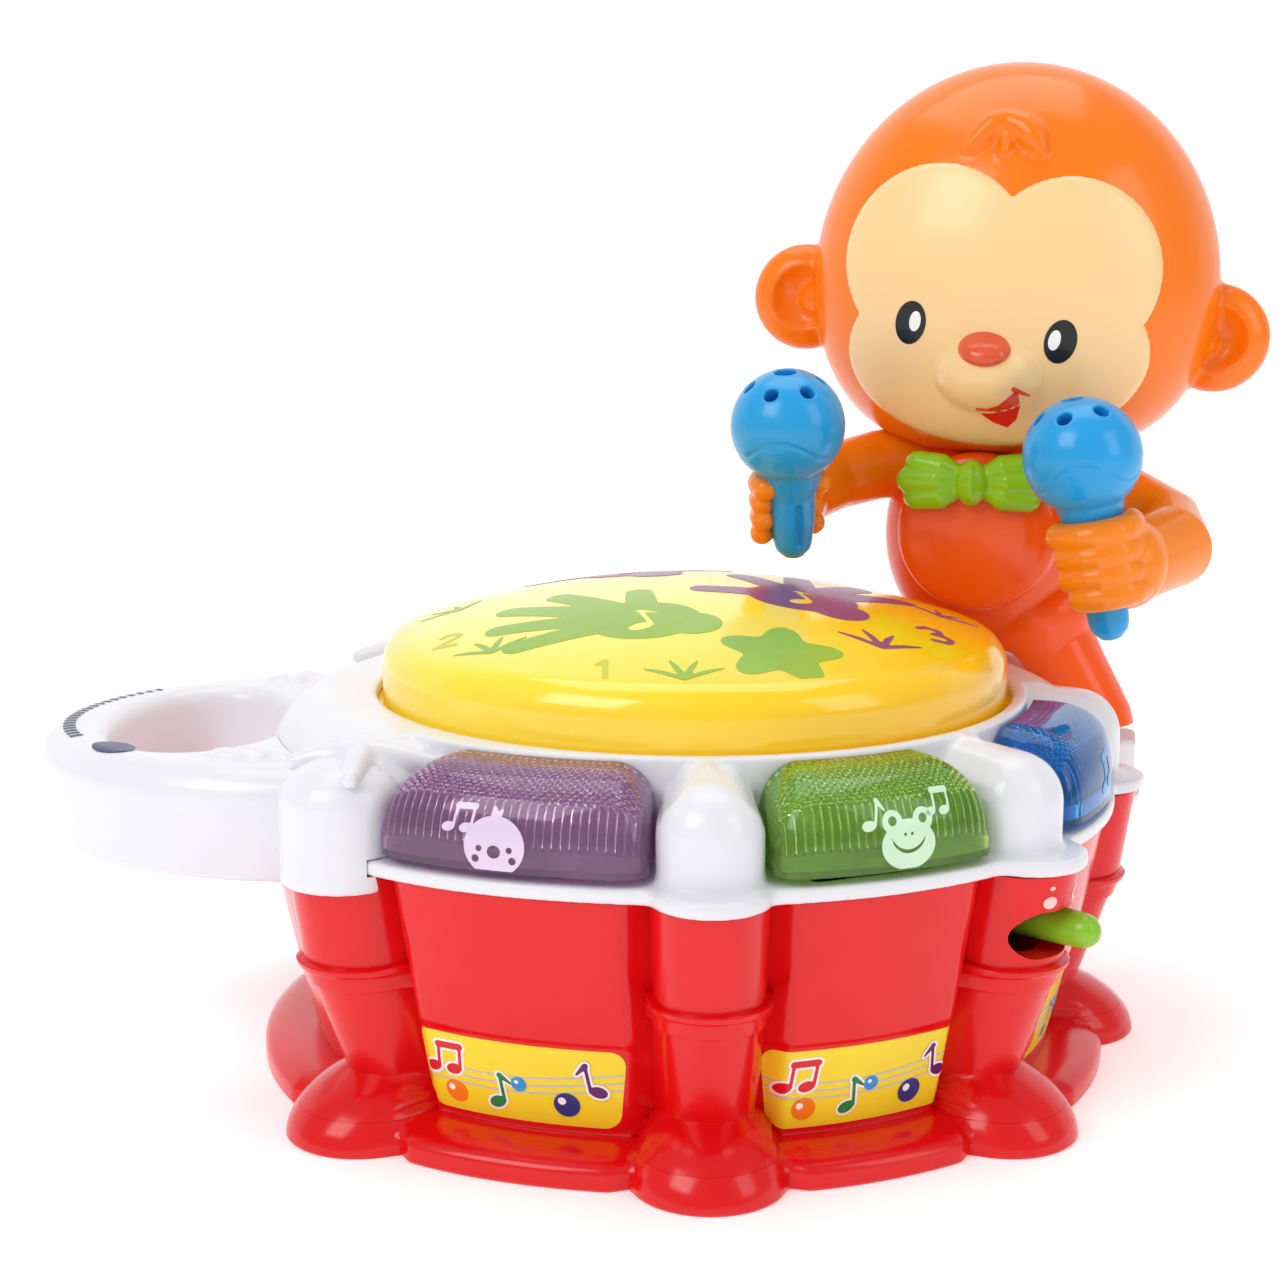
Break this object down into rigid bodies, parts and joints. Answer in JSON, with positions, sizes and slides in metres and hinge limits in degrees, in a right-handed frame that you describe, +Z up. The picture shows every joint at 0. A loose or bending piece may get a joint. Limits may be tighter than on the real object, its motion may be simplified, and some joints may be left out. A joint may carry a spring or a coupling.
{
  "type": "electronic toy drum",
  "caption": "Octagonal toy drum with a light-up pad, lens buttons, a loop handle and a monkey with maracas that swings beside it.",
  "frame": {"origin": "on the drum's axis, in the plane that its base rests on", "axes": "+Z up, the drum's front towards -Y, the carrying handle towards -X"},
  "size_m": [0.3414, 0.2474, 0.2664],
  "materials": {
    "white_plastic": "gloss",
    "red_plastic": "gloss",
    "yellow_translucent": "gloss",
    "purple_lens": "gloss",
    "green_lens": "gloss",
    "blue_lens": "gloss",
    "orange_plastic": "gloss",
    "deep_orange_plastic": "gloss",
    "tan_plastic": "satin",
    "leaf_green_plastic": "gloss",
    "sky_blue_plastic": "gloss",
    "knob_green_plastic": "gloss",
    "circuit_board": "satin",
    "black_plastic": "matte",
    "silicone_rubber": "matte",
    "led_epoxy": "gloss",
    "battery_sleeve": "satin",
    "zinc_plated_steel": "satin"
  },
  "bodies": {
    "drum": {"base_plate": "red_plastic", "lower_case": "red_plastic", "battery_contact_link": "zinc_plated_steel", "battery_contact_positive": "zinc_plated_steel", "battery_contact_negative": "zinc_plated_steel", "pivot_pin": "zinc_plated_steel", "case_screw_1": "zinc_plated_steel", "case_screw_2": "zinc_plated_steel", "case_screw_3": "zinc_plated_steel", "case_screw_4": "zinc_plated_steel", "case_screw_5": "zinc_plated_steel", "battery_1": "battery_sleeve", "battery_2": "battery_sleeve", "speaker": "black_plastic", "slide_switch_body": "black_plastic", "pad_switch": "black_plastic", "upper_shell": "white_plastic", "carry_handle": "white_plastic", "handle_cover": "white_plastic", "pad_tray": "white_plastic", "monkey_socket": "white_plastic", "pad_spring_1": "zinc_plated_steel", "button_dome_1": "silicone_rubber", "pad_spring_2": "zinc_plated_steel", "button_dome_2": "silicone_rubber", "pad_spring_3": "zinc_plated_steel", "button_dome_3": "silicone_rubber", "led_1": "led_epoxy", "led_2": "led_epoxy", "led_3": "led_epoxy", "led_4": "led_epoxy", "main_board": "circuit_board"},
    "drum_pad": {"drum_pad": "yellow_translucent"},
    "battery_door": {"battery_door": "red_plastic", "battery_door_screw": "zinc_plated_steel"},
    "power_switch": {"power_switch_knob": "knob_green_plastic"},
    "monkey": {"swing_stem": "deep_orange_plastic", "body_front_shell": "deep_orange_plastic", "body_back_shell": "deep_orange_plastic", "head_front_shell": "orange_plastic", "head_back_shell": "orange_plastic", "face_plate": "tan_plastic", "bow_tie": "leaf_green_plastic", "arm_left": "orange_plastic", "arm_right": "orange_plastic", "maraca_left": "sky_blue_plastic", "maraca_right": "sky_blue_plastic"},
    "purple_button": {"lens_button_purple": "purple_lens"},
    "green_button": {"lens_button_green": "green_lens"},
    "blue_button": {"lens_button_blue": "blue_lens"}
  },
  "joints": [
    {"name": "pad_press", "type": "slide", "parent": "drum", "child": "drum_pad", "axis": [0, 0, -1], "range_m": [0, 0.002], "stiffness_N_per_m": 3000, "springref_m": -0.0004, "deforming": ["pad_spring_1", "pad_spring_2", "pad_spring_3"]},
    {"name": "battery_door_lift_off", "type": "slide", "parent": "drum", "child": "battery_door", "axis": [0, 0, -1], "range_m": [0, 0.02]},
    {"name": "power_switch_slide", "type": "slide", "parent": "drum", "child": "power_switch", "axis": [0.7071, 0.7071, 0], "range_m": [-0.01, 0]},
    {"name": "monkey_swing", "type": "hinge", "parent": "drum", "child": "monkey", "pos_m": [0.12, 0.052, 0.065], "axis": [-0.2419, -0.9703, 0], "range_deg": [-9, 2], "stiffness_Nm_per_rad": 2.5},
    {"name": "purple_button_press", "type": "slide", "parent": "drum", "child": "purple_button", "axis": [0, 0, -1], "range_m": [0, 0.0015], "stiffness_N_per_m": 900, "springref_m": -0.0004},
    {"name": "green_button_press", "type": "slide", "parent": "drum", "child": "green_button", "axis": [0, 0, -1], "range_m": [0, 0.0015], "stiffness_N_per_m": 900, "springref_m": -0.0004},
    {"name": "blue_button_press", "type": "slide", "parent": "drum", "child": "blue_button", "axis": [0, 0, -1], "range_m": [0, 0.0015], "stiffness_N_per_m": 900, "springref_m": -0.0004}
  ]
}
